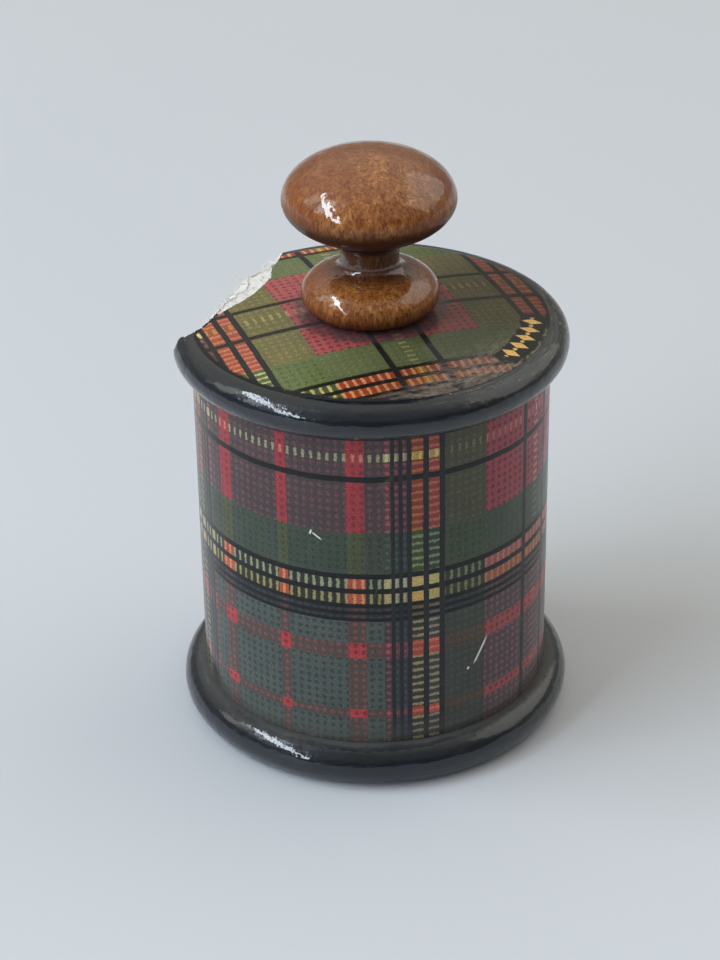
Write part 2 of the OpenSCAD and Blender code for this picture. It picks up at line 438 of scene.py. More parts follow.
def tartan_group(name, sett, aged, swaps):
    """The printed pattern: colour and height from two distances in mm across the stripes.

    swaps gives other inks, ground and flecks, for some crossings.
    """
    g, t, given, made = node_group(name, ["Across", "Down"], [("Color", "Color"), ("Height", "Float")])
    a, d = given[0], given[1]
    flat = t.join(a, d, 0.0)

    def stripe(distance, seed):
        shifted = t.join(a, d, seed)
        uneven = t.add(t.sway(0.16, shifted, 0.5, 1.0), t.sway(0.10, shifted, 6.0, 1.0))
        return t.group(sett, t.add(distance, uneven))[0]

    up, level = stripe(a, 3.0), stripe(d, 9.0)

    def lookup(where, values):
        return t.ramp(where, [(i / len(SETT), values(k)) for i, (k, _) in enumerate(SETT)], "CONSTANT")

    # Each ink has a grey of its own, by which the upright stripe picks its row of the tables.
    greys = {k: i / 16 for i, k in enumerate(dict.fromkeys(k for k, _ in SETT))}
    code = lookup(up, lambda k: (greys[k],) * 3)
    ground = flecks = lookup(level, lambda k: ink("232427"))
    tables = inks(GROUND, aged), inks(FLECK, aged)
    for (row, column), pair in swaps.items():
        for table, swap in zip(tables, pair):
            table[row][column] = ink(swap)
    for k in tables[0]:
        here = t.compare(code, greys[k], 0.02)
        ground = t.mix(here, ground, lookup(level, lambda h: tables[0][k][h]))
        flecks = t.mix(here, flecks, lookup(level, lambda h: tables[1][k][h]))

    # The flecks are short bars across the light stripes, and rows of dots elsewhere.
    bars_up, bars_level, dots = fleck_fields(t, a, d)
    light = ("dash", "pale", "gold")
    is_level = lookup(level, lambda k: (float(k in light),) * 3)
    is_up = lookup(up, lambda k: (float(k in light),) * 3)
    where = t.blend(is_level, t.blend(is_up, dots, bars_up), bars_level)
    colour = t.mix(t.mul(where, 0.92), ground, flecks)
    speck = t.noise(flat, 5.5, 4.0, 0.8)
    worn = t.ramp(speck, [(0.3, (0.35,) * 3), (0.5, (0.95,) * 3), (0.7, (1.7,) * 3)])
    colour = t.mix(1.0, colour, worn, "MULTIPLY")
    cloud = t.ramp(t.noise(flat, 0.35, 3.0), [(0.25, (0.88, 0.88, 0.9)), (0.75, (1.12, 1.1, 1.06))])
    colour = t.mix(1.0, colour, cloud, "MULTIPLY")
    t.put(made[0], colour)
    t.put(made[1], t.add(t.mul(where, 0.3), t.mul(speck, 0.4)))
    return g


sett = sett_group()
barrel_tartan = tartan_group("barrel_tartan", sett, ((1.1, 1.1, 1.1), (1.04, 1.08, 1.08)), {})
lid_tartan = tartan_group("lid_tartan", sett, ((3.2, 2.7, 1.65), (1.65, 1.95, 1.5)), LID_BRIGHT)

# Where two mirror lines of the tartan cross: on the barrel as mm to the right of its front and
# up from the base disc, and on the lid as mm from its middle, along the print.
BARREL_MIRRORS = (21.19, 34.7)
LID_MIRRORS = (0.33, 2.33)
# The lid's print is turned and a little larger than the barrel's.
LID_TURN = math.radians(19.5)
LID_SCALE = 0.97

# The white scratches on the barrel: their ends and width, in mm to the right and up.
BARREL_MARKS = (
    ((11.0, 7.7), (13.0, 11.0), 0.17),
    ((10.25, 7.4), (10.5, 7.75), 0.2),
    ((-6.7, 25.3), (-6.45, 25.95), 0.14),
    ((-6.45, 25.6), (-5.3, 24.8), 0.12),
)

# The gilt row at the lid's right front: its radius, the angle of its middle, and its lozenges.
GILT_R = 17.0
GILT_MIDDLE = math.radians(-20.0)
LOZENGES = 5
LOZENGE_STEP, LOZENGE_HALF, LOZENGE_RISE = 1.9, 0.6, 1.1


def scratches(t, v, scale, keep):
    """Thin bright scratches: 1 on them."""
    a = t.noise(v, scale, 1.0, 0.5, 0.6)
    thin = t.wide(t.abs(t.sub(a, 0.5)), 0.0, 0.004, 1.0, 0.0)
    return t.mul(thin, t.wide(t.noise(v, scale * 2.3, 1.0), keep, keep + 0.05))


def stroke(t, u, v, p, q, width):
    """1 on the straight stroke from p to q on a flat (u, v) chart in mm, thinner at its ends."""
    dx, dy = q[0] - p[0], q[1] - p[1]
    length = math.hypot(dx, dy)
    dx, dy = dx / length, dy / length
    ru, rv = t.sub(u, p[0]), t.sub(v, p[1])
    along = t.add(t.mul(ru, dx), t.mul(rv, dy))
    off = t.abs(t.sub(t.mul(ru, dy), t.mul(rv, dx)))
    inside = t.mul(t.wide(along, 0.0, length * 0.2), t.wide(along, length, length * 0.7))
    return t.mul(inside, t.wide(off, width, width * 0.4))


def barrel_wear(t, u, v, at, age, colour):
    """Dust and rubbing at the barrel's foot, a patchy pale painted reflection on its left, and its
    scratches.
    """
    low = t.sub(v, t.mul(t.noise(at.p, 1.1, 4.0, 0.7), 1.6))
    dust = t.wide(low, 2.6, -0.5)
    colour = t.mix(t.mul(dust, 0.4), colour, ink("545450"))
    rub = t.mul(t.wide(t.noise(at.p, 1.6, 4.0, 0.7), 0.55, 0.72), t.wide(v, 1.6, 0.1))
    colour = t.mix(t.mul(rub, 0.7), colour, ink("72706a"))
    # Painted reflection: the barrel is paler in patches towards its left edge, where it is seen at a
    # grazing angle.
    left = t.mul(t.wide(at.turn, -0.85, -1.4), t.wide(age, 0.35, 0.6))
    colour = t.mix(t.mul(left, 0.45), colour, ink("6a625a"))
    mark = 0.0
    for p, q, width in BARREL_MARKS:
        mark = t.max(mark, stroke(t, u, v, p, q, width))
    return t.mix(mark, colour, ink("e6e4de"))


def gilt_row(t, along, off):
    """1 on a row of lozenges with beads between them. along and off are in mm from its middle."""
    cell = t.sub(t.math("FRACT", t.add(t.mul(along, 1 / LOZENGE_STEP), 0.5)), 0.5)
    wide = t.mul(t.abs(cell), LOZENGE_STEP / LOZENGE_HALF)
    lozenge = t.wide(t.add(wide, t.mul(t.abs(off), 1 / LOZENGE_RISE)), 1.06, 0.94)
    between = t.sub(t.math("FRACT", t.mul(along, 1 / LOZENGE_STEP)), 0.5)
    across = t.mul(t.mul(between, between), LOZENGE_STEP ** 2)
    bead = t.wide(t.math("SQRT", t.add(across, t.mul(off, off))), 0.27, 0.2)
    within = t.math("LESS_THAN", t.abs(along), LOZENGES * LOZENGE_STEP / 2)
    return t.mul(t.max(lozenge, bead), within)


def lid_wear(t, at, colour):
    """The lid print darker towards the right, painted shade round the knob's foot, its scuffs, the black
    lacquer over it, and the gilt.
    """
    x, y, out = at.x, at.y, at.out
    around = t.math("ARCTAN2", y, x)
    rag = t.noise(t.join(t.mul(x, 0.55), t.mul(y, 0.55), 0.0), 1.3, 4.0, 0.65)
    # The print is darker towards the right, where it is scuffed too, and a ring of painted shade lies
    # round the knob's foot.
    darker_right = t.wide(t.sub(t.mul(x, 0.9), t.mul(y, 0.1)), -7.0, 12.0, 1.0, 0.37)
    colour = t.mix(1.0, colour, t.join(darker_right, darker_right, darker_right), "MULTIPLY")
    # Painted shade: a dark purplish ring on the print round the knob's foot.
    ring = t.mul(t.wide(out, 8.6, 7.5), t.wide(rag, 0.3, 0.55, 0.35, 0.8))
    colour = t.mix(ring, colour, ink("4a4044"))
    rubbed = t.noise(t.join(t.mul(around, 9.0), t.mul(out, 1.5), 0.0), 1.3, 5.0, 0.72)
    scuff = t.mul(t.wide(t.sub(x, y), 17.0, 24.0), t.wide(rubbed, 0.36, 0.66))
    colour = t.mix(t.mul(scuff, 0.62), colour, ink("9c8e82"))
    # Black lacquer is brushed over the paper's edge, and there is a patch of it under the gilt.
    front = t.wide(t.sub(x, y), 19.0, 24.0, 0.0, 0.45)
    edge = t.sub(t.add(out, t.mul(t.sub(rag, 0.5), 1.3)), front)
    paint = t.wide(edge, CROWN_R - 0.6, CROWN_R - 0.25)
    along = t.mul(t.sub(around, GILT_MIDDLE), GILT_R)
    off = t.sub(out, GILT_R - 0.05)
    deep = t.mul(t.abs(t.sub(off, 0.2)), 1 / 1.35)
    box = t.max(t.mul(t.abs(along), 1 / 5.6), deep)
    patch = t.wide(t.add(box, t.mul(t.sub(rag, 0.5), 0.9)), 1.08, 0.92)
    colour = t.mix(t.max(paint, patch), colour, ink("101214"))
    gilt = t.mul(gilt_row(t, along, off), t.wide(t.noise(at.p, 3.5, 3.0), 0.3, 0.42, 0.2, 1.0))
    return t.mix(gilt, colour, ink("f0be6e"))


def varnished_paper(name, kind):
    """The tartan paper of the barrel, the lid or the base's underside, under old varnish."""
    m, t = material(name)
    at = t.place()
    x, y = at.x, at.y
    age = t.noise(at.p, 0.22, 4.0, 0.6)
    chart = t.join(x, y, 0.0)
    if kind == "barrel":
        u, v = t.mul(at.turn, BARREL_R), t.sub(at.z, BASE_T)
        chart = t.join(u, v, 0.0)
        across, up = BARREL_MIRRORS
        colour, height = t.group(barrel_tartan, t.sub(across, u), t.sub(up, v))
        colour = barrel_wear(t, u, v, at, age, colour)
    elif kind == "lid":
        c, s = math.cos(LID_TURN), math.sin(LID_TURN)
        across, up = LID_MIRRORS
        u = t.sub(t.add(t.mul(x, c), t.mul(y, s)), across)
        v = t.sub(t.mul(y, c), t.mul(x, s))
        # The stripes in front of the middle lie about a millimetre further out than an even print's.
        pulled = t.add(t.mul(t.sub(v, up), LID_SCALE), t.wide(v, 3.5, -1.75, 0.0, 1.17))
        colour, height = t.group(lid_tartan, t.mul(u, LID_SCALE), pulled)
        colour = lid_wear(t, at, colour)
    else:
        colour, height = t.group(barrel_tartan, t.add(x, 6.0), t.add(y, 3.0))
    fine = scratches(t, chart, 0.11, 0.56)
    colour = t.mix(t.mul(fine, 0.1), colour, ink("a09b8c"))
    relief = t.bump(height, 0.00002, 0.6)
    skin = t.add(t.noise(at.p, 0.32, 2.0), t.mul(t.noise(at.p, 1.4, 2.0), 0.22))
    coat = t.bump(t.sub(skin, t.mul(fine, 0.12)), 0.00016, 0.8)
    haze = {"barrel": 0.14, "lid": 0.18, "base": 0.25}[kind]
    shade(t, Base_Color=colour, Roughness=t.wide(age, 0.3, 0.7, 0.42, 0.6), IOR=1.5,
          Specular_IOR_Level=0.12, Normal=relief,
          Coat_Weight=0.55, Coat_Roughness=haze, Coat_IOR=1.45, Coat_Normal=coat)
    return m


def swept(t, at, turns, across):
    """Coordinates in which noise is drawn out round the axis."""
    return t.join(t.mul(at.turn, turns), t.mul(at.out, across), t.mul(at.z, across))


def base_wear(t, at, lumps, colour):
    """The base disc's colour, where it is worn, and where a film of dust dulls it."""
    grime = t.add(t.wide(at.out, BARREL_R + 1.5, BARREL_R + 0.1), t.mul(t.sub(lumps, 0.5), 1.1))
    dust = t.mul(t.wide(grime, 0.35, 0.9), t.wide(at.z, BASE_T - 0.7, BASE_T - 0.1))
    specks = t.wide(t.noise(at.p, 4.2, 3.0, 0.7), 0.35, 0.65, 0.55, 0.95)
    colour = t.mix(t.mul(dust, specks), colour, ink("6a6866"))
    # The lacquer is rubbed through to the wood where the box stands.
    worn = t.mul(t.wide(at.z, 0.35, 0.02), t.wide(t.noise(at.p, 0.9, 4.0), 0.4, 0.62))
    colour = t.mix(t.mul(worn, 0.8), colour, ink("6b5a43"))
    film = t.wide(at.out, BASE_R - 1.0, BASE_R - 1.9, 0.0, 0.6)
    film = t.mul(film, t.wide(at.z, BASE_T - 1.6, BASE_T - 0.6))
    colour = t.mix(film, colour, ink("4c4e50"))
    return colour, worn, t.max(dust, film)


def rim_wear(t, at, lumps, colour):
    """The lid disc's colour, where it is worn, and where its underside was left thin."""
    right = t.mul(t.wide(at.turn, 0.15, 0.8), t.wide(at.turn, 2.4, 1.7))
    band = t.wide(at.z, LID_TOP - 1.3, LID_TOP - 0.3)
    band = t.mul(band, t.wide(at.out, CROWN_R - 0.3, CROWN_R + 0.3))
    hazy = t.noise(swept(t, at, 3.0, 1.6), 1.1, 5.0, 0.75)
    worn = t.mul(t.mul(band, right), t.wide(hazy, 0.44, 0.6))
    colour = t.mix(t.mul(worn, 0.8), colour, ink("646664"))
    lines = t.noise(swept(t, at, 2.2, 2.6), 0.9, 2.0, 0.55, 0.4)
    lines = t.wide(t.abs(t.sub(lines, 0.5)), 0.0, 0.016, 1.0, 0.0)
    lines = t.mul(t.mul(lines, right), t.wide(at.z, LID_TOP - 2.2, LID_TOP - 0.8))
    lines = t.mul(lines, t.wide(lumps, 0.45, 0.6))
    colour = t.mix(t.mul(lines, 0.8), colour, ink("a09470"))
    return colour, worn, t.wide(at.z, LID_Z + 1.3, LID_Z + 0.3, 0.0, 0.9)


def ebonised(name, wear):
    """Black lacquer brushed on while the disc turned. wear is the function that ages it."""
    m, t = material(name)
    at = t.place()
    brush = t.noise(swept(t, at, 3.0, 1.6), 1.6, 5.0, 0.65)
    lumps = t.noise(at.p, 0.55, 3.0, 0.6)
    colour = t.ramp(brush, [(0.3, ink("060f19")), (0.7, ink("0e1a26"))])
    colour = t.mix(t.wide(t.noise(at.p, 1.9, 4.0, 0.7), 0.64, 0.8), colour, ink("24282a"))
    colour, worn, film = wear(t, at, lumps, colour)
    chips = t.wide(t.cells(at.p, 0.42), 0.09, 0.05)
    chips = t.mul(chips, t.wide(t.noise(at.p, 0.2, 2.0), 0.52, 0.6))
    colour = t.mix(t.mul(chips, 0.8), colour, ink("8f7c5c"))
    gloss = t.add(t.wide(brush, 0.3, 0.75, 0.3, 0.5), t.mul(worn, 0.3))
    relief = t.bump(t.add(t.mul(brush, 0.35), t.mul(lumps, 0.9)), 0.0003, 0.55)
    streaks = t.noise(swept(t, at, 7.0, 1.3), 1.0, 2.0, 0.6)
    coat = t.bump(t.add(t.mul(streaks, 0.5), t.mul(lumps, 0.6)), 0.0002, 0.65)
    dull = t.max(worn, film)
    patchy = t.wide(t.noise(swept(t, at, 9.0, 1.8), 1.1, 4.0, 0.7), 0.48, 0.68, 0.0, 0.16)
    shade(t, Base_Color=colour, Roughness=gloss, IOR=1.5, Specular_IOR_Level=0.15, Normal=relief,
          Coat_Weight=t.wide(dull, 0.0, 1.0, 0.9, 0.2),
          Coat_Roughness=t.add(t.wide(dull, 0.0, 1.0, 0.045, 0.35), patchy),
          Coat_IOR=1.6, Coat_Normal=coat)
    return m


def knob_wood():
    """Figured wood, stained and thickly varnished."""
    m, t = material("varnished_knob_wood")
    p, x, y, z, turn, out = t.place()
    figure = t.noise(t.join(x, y, t.mul(z, 0.5)), 1.7, 5.0, 0.75, 0.5)
    curl = t.noise(t.join(x, y, t.mul(z, 0.7)), 0.28, 3.0, 0.6)
    pores = t.noise(t.join(x, y, t.mul(z, 0.22)), 4.2, 2.0, 0.6)
    amber = t.ramp(figure, [(0.28, ink("5a2a14")), (0.5, ink("a4652f")), (0.7, ink("cc9052"))])
    amber = t.mix(t.wide(pores, 0.48, 0.66, 0.0, 0.65), amber, ink("4c200e"))
    amber = t.mix(t.wide(curl, 0.35, 0.62, 0.5, 0.0), amber, ink("74341a"))
    # Painted shade: the knob is darker and redder away from its front, towards the edges seen from there.
    face = t.wide(t.abs(t.sub(turn, 0.1)), 0.5, 1.3, 0.0, 0.45)
    amber = t.mix(face, amber, ink("7c3c20"))
    # Painted shade in the neck's hollow, under the head and round the foot by the lid, where the stain
    # lies thicker too.
    neck = t.abs(t.sub(z, KNOB_Z + 6.3))
    deep = t.mul(t.wide(neck, 3.6, 1.0), t.wide(out, 5.6, 3.4))
    rim = t.mul(t.wide(z, KNOB_Z + 13.6, KNOB_Z + 10.6), t.wide(z, KNOB_Z + 6.0, KNOB_Z + 7.5))
    foot_shade_and_stain = t.wide(z, KNOB_Z + 3.2, KNOB_Z + 0.2)
    stain = t.max(t.mul(deep, 0.8), t.max(rim, t.mul(foot_shade_and_stain, 0.7)))
    colour = t.mix(stain, amber, ink("2e1412"))
    height = t.add(t.noise(p, 0.5, 2.0), t.mul(t.noise(p, 2.6, 2.0), 0.07))
    relief = t.bump(height, 0.00017, 0.7)
    grain = t.bump(figure, 0.00004, 0.7)
    # The varnish is thinner on the undersides of the head and the foot.
    under_head = t.mul(t.wide(z, KNOB_Z + 13.7, KNOB_Z + 12.4), t.wide(z, KNOB_Z + 7.0, KNOB_Z + 8.0))
    thin = t.max(under_head, t.wide(z, KNOB_Z + 3.0, KNOB_Z + 2.3))
    shade(t, Base_Color=colour, Roughness=0.42, IOR=1.5, Specular_IOR_Level=0.1, Normal=grain,
          Coat_Weight=t.wide(thin, 0.0, 1.0, 1.0, 0.25), Coat_Roughness=0.03,
          Coat_IOR=1.62, Coat_Normal=relief)
    return m


def plain_wood(name, light, dark, rough_value, coat=0.0):
    """Turned wood with its grain along Z."""
    m, t = material(name)
    at = t.place()
    rings = t.noise(t.join(at.x, t.mul(at.y, 0.35), t.mul(at.z, 0.036)), 0.6, 3.0, 0.6, 1.2)
    fibre = t.noise(t.join(at.x, at.y, t.mul(at.z, 0.12)), 3.2, 4.0, 0.7)
    lathe = t.math("SINE", t.add(t.mul(at.z, 9.0), t.mul(t.noise(at.p, 0.5, 2.0), 5.0)))
    between = tuple(0.5 * (a + b) for a, b in zip(light, dark))
    colour = t.ramp(rings, [(0.3, dark), (0.5, light), (0.7, between)])
    colour = t.mix(t.wide(fibre, 0.45, 0.75, 0.0, 0.45), colour, dark)
    grime = t.wide(t.noise(at.p, 0.4, 4.0, 0.6), 0.55, 0.75, 0.0, 0.35)
    colour = t.mix(grime, colour, tuple(0.45 * c for c in dark))
    relief = t.bump(t.add(t.mul(fibre, 0.6), t.mul(lathe, 0.12)), 0.00005, 0.7)
    rough_here = t.wide(fibre, 0.3, 0.7, rough_value - 0.08, rough_value + 0.08)
    shade(t, Base_Color=colour, Roughness=rough_here, Normal=relief, Coat_Weight=coat, Coat_Roughness=0.15)
    return m


def split_wood():
    """Fresh pale wood where the lid broke, with its fibres along the break."""
    m, t = material("split_wood")
    at = t.place()
    c, s = math.cos(GRAIN), math.sin(GRAIN)
    along = t.add(t.mul(at.x, c), t.mul(at.y, s))
    over = t.sub(t.mul(at.y, c), t.mul(at.x, s))
    v = t.join(t.mul(along, 0.16), over, t.mul(at.z, 1.5))
    fibre = t.noise(v, 3.2, 5.0, 0.72)
    band = t.noise(v, 0.8, 3.0, 0.6)
    colour = t.ramp(fibre, [(0.28, ink("d8d4ca")), (0.5, ink("f1efeb")), (0.72, ink("fafaf9"))])
    colour = t.mix(t.wide(band, 0.5, 0.72, 0.0, 0.3), colour, ink("ccc0a8"))
    colour = t.mix(t.wide(at.z, LID_Z + 1.4, LID_Z, 0.0, 0.45), colour, ink("8c7454"))
    relief = t.bump(fibre, 0.00016, 0.9)
    shade(t, Base_Color=colour, Roughness=0.85, Normal=relief)
    return m


def torn_core():
    """The white inside of the torn paper and its fluffed fibres."""
    m, t = material("torn_paper_core")
    at = t.place()
    fluff = t.noise(at.p, 3.4, 5.0, 0.72)
    colour = t.ramp(fluff, [(0.3, ink("cfcbc0")), (0.55, ink("eeece6")), (0.75, ink("f8f7f4"))])
    colour = t.mix(t.wide(t.noise(at.p, 0.9, 3.0), 0.55, 0.72, 0.0, 0.35), colour, ink("b4ac98"))
    shade(t, Base_Color=colour, Roughness=0.9, Normal=t.bump(fluff, 0.00012, 0.8))
    return m


def cotton():
    """Red sewing cotton, twisted and a little faded."""
    m, t = material("wound_cotton")
    at = t.place()
    twist = t.math("SINE", t.add(t.mul(at.turn, 260.0), t.mul(at.z, 30.0)))
    fuzz = t.noise(at.p, 5.0, 4.0, 0.7)
    reds = [(0.3, ink("7d1219")), (0.6, ink("ac2129")), (0.8, ink("c43f43"))]
    colour = t.ramp(t.add(t.mul(twist, 0.12), fuzz), reds)
    fade = t.wide(t.noise(at.p, 0.25, 2.0), 0.4, 0.7, 0.0, 0.25)
    colour = t.mix(fade, colour, ink("b85a50"))
    relief = t.bump(t.add(t.mul(twist, 0.3), fuzz), 0.00004, 0.8)
    shade(t, Base_Color=colour, Roughness=0.7, Normal=relief, Sheen_Weight=0.35, Sheen_Roughness=0.4)
    return m


def lining():
    """Dark red glazed paper, stained and scuffed round the peg."""
    m, t = material("glazed_lining_paper")
    at = t.place()
    pulp = t.noise(at.p, 2.4, 5.0, 0.7)
    stain = t.wide(t.noise(at.p, 0.22, 4.0, 0.6), 0.5, 0.7, 0.0, 0.45)
    colour = t.ramp(pulp, [(0.3, ink("5a1f22")), (0.7, ink("7f3236"))])
    colour = t.mix(stain, colour, ink("4a2320"))
    scuff = t.wide(t.noise(t.join(t.mul(at.turn, 6.0), at.out, 0.0), 1.2, 4.0, 0.7), 0.6, 0.75, 0.0, 0.5)
    colour = t.mix(scuff, colour, ink("9c5a55"))
    shade(t, Base_Color=colour, Roughness=t.wide(pulp, 0.3, 0.7, 0.38, 0.55),
          Normal=t.bump(pulp, 0.00005, 0.6))
    return m


def label():
    """Cream paper with plain printed rings and a ring of short strokes."""
    m, t = material("printed_label")
    at = t.place()
    pulp = t.noise(at.p, 2.8, 5.0, 0.7)
    colour = t.ramp(pulp, [(0.3, ink("cfc19a")), (0.7, ink("e9dfc0"))])
    tone = t.wide(t.noise(at.p, 0.3, 4.0, 0.6), 0.5, 0.72, 0.0, 0.5)
    colour = t.mix(tone, colour, ink("b99c66"))

    def ring(r, w):
        return t.wide(t.abs(t.sub(at.out, r)), w, w * 0.6)

    print_mask = t.max(ring(9.3, 0.22), t.max(ring(8.7, 0.1), ring(4.7, 0.16)))
    rays = t.wide(t.math("COSINE", t.mul(at.turn, 36.0)), 0.2, 0.5)
    rays = t.mul(rays, t.wide(t.abs(t.sub(at.out, 7.6)), 0.5, 0.42))
    lozenge = t.math("COSINE", t.mul(at.turn, 12.0))
    lozenge = t.wide(t.sub(lozenge, t.mul(t.abs(t.sub(at.out, 6.1)), 1.6)), 0.35, 0.5)
    print_mask = t.max(print_mask, t.max(rays, lozenge))
    print_mask = t.mul(print_mask, t.wide(t.noise(at.p, 4.0, 3.0), 0.3, 0.45, 0.4, 0.9))
    colour = t.mix(print_mask, colour, ink("8c2a2c"))
    shade(t, Base_Color=colour, Roughness=0.62, Normal=t.bump(pulp, 0.00005, 0.6))
    return m


barrel_print = varnished_paper("varnished_tartan_barrel", "barrel")
lid_print = varnished_paper("varnished_tartan_lid", "lid")
base_print = varnished_paper("varnished_tartan_base", "base")
base_black = ebonised("ebonised_base", base_wear)
lid_black = ebonised("ebonised_lid", rim_wear)
knob_finish = knob_wood()
sycamore = plain_wood("plain_sycamore", ink("d3b78c"), ink("b0905f"), 0.6)
peg_finish = plain_wood("waxed_peg_wood", ink("c0915a"), ink("8f6335"), 0.45)
birch = plain_wood("varnished_birch", ink("bf8f58"), ink("8a5c30"), 0.4, coat=0.5)
raw = split_wood()
core = torn_core()
thread_finish = cotton()
lining_finish = lining()
label_finish = label()


# -------------------- base disc
def base_shape(r, z, a, i):
    """The turned edge is a little uneven, and only ever inside its true outline."""
    if r > BOSS_R + 0.5:
        dip = 0.05 * (0.5 + 0.5 * rough(2 * math.cos(a), 2 * math.sin(a), z * 0.5, 4.0))
        dip += 0.03 * (0.5 + 0.5 * rough(9 * math.cos(a), 9 * math.sin(a), z, 8.0))
        r -= dip
    return r, z


outline = [(0, PAPER_T), (RECESS_R, PAPER_T), (RECESS_R, 0)]
outline += arc(BASE_R - BASE_EDGE, BASE_T / 2, BASE_EDGE, BASE_T / 2, -90, 90, 40)
outline += [(18.4, BASE_T), (BOSS_R, BASE_T), (BOSS_R, FLOOR_Z), (SOCKET_R, FLOOR_Z)]
outline += [(SOCKET_R, SOCKET_Z), (0, SOCKET_Z)]
piece("ebonised_base_disc", turned(outline, 288, base_shape), "box", [base_black],
      stands_for=["base_disc"])


# -------------------- barrel paper
def barrel_sheet():
    """One sheet, wrapped once round and lapped over its own start at the back."""
    bm = bmesh.new()
    lap, lap_lift, sheet_t = 0.11, 0.13, 0.125
    count, rows = 420, 24
    start = math.pi / 2 + 0.02
    end = start + 2 * math.pi + lap
    lo, hi = paper_lo.z, paper_hi.z
    outer, inner = [], []
    for j in range(count + 1):
        a = start + (end - start) * j / count
        c, s = math.cos(a), math.sin(a)
        lift = lap_lift * min(1.0, max(0.0, (a - (end - 2.4 * lap)) / (1.2 * lap)))
        r = BARREL_R - 0.015 + 0.01 * rough(3 * c, 3 * s, 0, 2.0) + lift
        heights = [lo + (hi - lo) * k / rows for k in range(rows + 1)]
        heights[-1] -= 0.06 * (rough(40 * c, 40 * s, rows, 5.0) + 1)
        for side, radius in ((outer, r), (inner, r - sheet_t)):
            side.append([bm.verts.new((radius * c * MM, radius * s * MM, z * MM)) for z in heights])
    for j in range(count):
        for k in range(rows):
            bm.faces.new([outer[j][k], outer[j + 1][k], outer[j + 1][k + 1], outer[j][k + 1]])
            bm.faces.new([inner[j][k + 1], inner[j + 1][k + 1], inner[j + 1][k], inner[j][k]])
        for k, flip in ((0, False), (rows, True)):
            quad = [outer[j][k], inner[j][k], inner[j + 1][k], outer[j + 1][k]]
            f = bm.faces.new(quad[::-1] if flip else quad)
            f.material_index = 1
    for j in (0, count):
        for k in range(rows):
            f = bm.faces.new([outer[j][k], outer[j][k + 1], inner[j][k + 1], inner[j][k]])
            f.material_index = 1
    return bm


piece("tartan_barrel_paper", barrel_sheet(), "box", [barrel_print, core],
      stands_for=["barrel_paper"])

# -------------------- the broken lid
# The break lies between these two angles, and no nearer to the axis than this.
FIRST, LAST = math.radians(106), math.radians(200)
BREAK_R = 9


def lid_angles():
    """Angles for the lid's columns, close together along the break."""
    fine, coarse = 300, 190
    angles = [FIRST + (LAST - FIRST) * i / fine for i in range(fine)]
    rest = 2 * math.pi - (LAST - FIRST)
    return angles + [LAST + rest * i / coarse for i in range(coarse)]


def broken_at(a, z):
    """How far from the axis the wood reaches at angle a and height z."""
    r = reach(WOOD_TEAR, a)
    if r == math.inf:
        return r
    r += TEAR_OUT * (LID_TOP + LID_RISE - z) / (LID_T + LID_RISE + 0.5)
    # The wood broke in layers, each with its own ledge.
    layer = (z - LID_Z) / 0.62
    low = math.floor(layer)
    step = min(1.0, (layer - low) / 0.3)
    below, above = (
        0.85 * rough(a * 3.1, n * 7.3, 0, 1.0) + 0.3 * rough(a * 15, n * 3.1, 0, 6.0)
        for n in (low - 1, low)
    )
    r += below + (above - below) * step
    r += 0.16 * rough(a * 46, z * 2.2, 0, 3.0) + 0.1 * rough(a * 120, z * 5, 0, 5.0)
    # The last of the wood stays outside the torn paper, and inside the lid's own edge.
    near_top = min(1.0, max(0.0, (z - LID_TOP + 0.6) / 0.9))
    r -= 0.4 * near_top
    return max(r, reach(PAPER_TEAR, a) + 0.15 * near_top - 0.3 * (1 - near_top))


def torn_paper_at(a):
    """How far from the axis the torn paper reaches at angle a."""
    r = reach(PAPER_TEAR, a)
    if r == math.inf:
        return r
    return r + 0.14 * rough(a * 30, 0, 0, 2.0) + 0.07 * rough(a * 90, 0, 0, 7.0)


angles = lid_angles()
paper_edge = {a: torn_paper_at(a) for a in angles}


def lid_shape(r, z, a, i):
    """The lid disc, cut back at the break, with its top roughened where the paper is gone."""
    limit = broken_at(a, z) if FIRST < a < LAST else math.inf
    if r > limit:
        return limit, z
    if i in crown_rows and r > paper_edge[a] + 0.05:
        deep = 0.16 + 0.12 * rough(r * 2.0, a * 30, 0, 4.0) + 0.09 * rough(r * 6, a * 80, 0, 9.0)
        return r, z - deep
    if r > CROWN_R + 0.3:
        r -= 0.05 * (0.5 + 0.5 * rough(2 * math.cos(a), 2 * math.sin(a), z * 0.5, 14.0))
        r -= 0.03 * (0.5 + 0.5 * rough(10 * math.cos(a), 10 * math.sin(a), z, 18.0))
    return r, z


lid_outline = line((HOLE_R, LID_Z), (10.5, LID_Z), 2) + line((11.5, LID_Z), (CROWN_R - 0.5, LID_Z), 8)
lid_outline += arc(CROWN_R, LID_Z + LID_T / 2, LID_EDGE, LID_T / 2, -90, 90, 40)
tops = [CROWN_R - 0.25 * i for i in range(1, 34)] + [9.5, 8, 6, 4, HOLE_R]
crown_rows = range(len(lid_outline), len(lid_outline) + len(tops))
lid_outline += [(r, crown(r)) for r in tops]
bm = turned(lid_outline, angles, lid_shape)
for f in bm.faces:
    r, a, z = polar(f)
    if not FIRST < a < LAST:
        continue
    wall = r > BREAK_R and r > broken_at(a, z) - 0.07
    torn_top = z > LID_TOP + 0.02 and reach(PAPER_TEAR, a) + 0.05 < r
    ragged = 0.35 * rough(a * 40, r * 2, 0, 2.5)
    split = math.radians(119) < a + ragged * 0.1 < math.radians(177) and r < CROWN_R + 0.2 + ragged
    if wall or (torn_top and split):
        f.material_index = 1
piece("ebonised_lid_disc", bm, "lid", [lid_black, raw], stands_for=["lid_disc"])


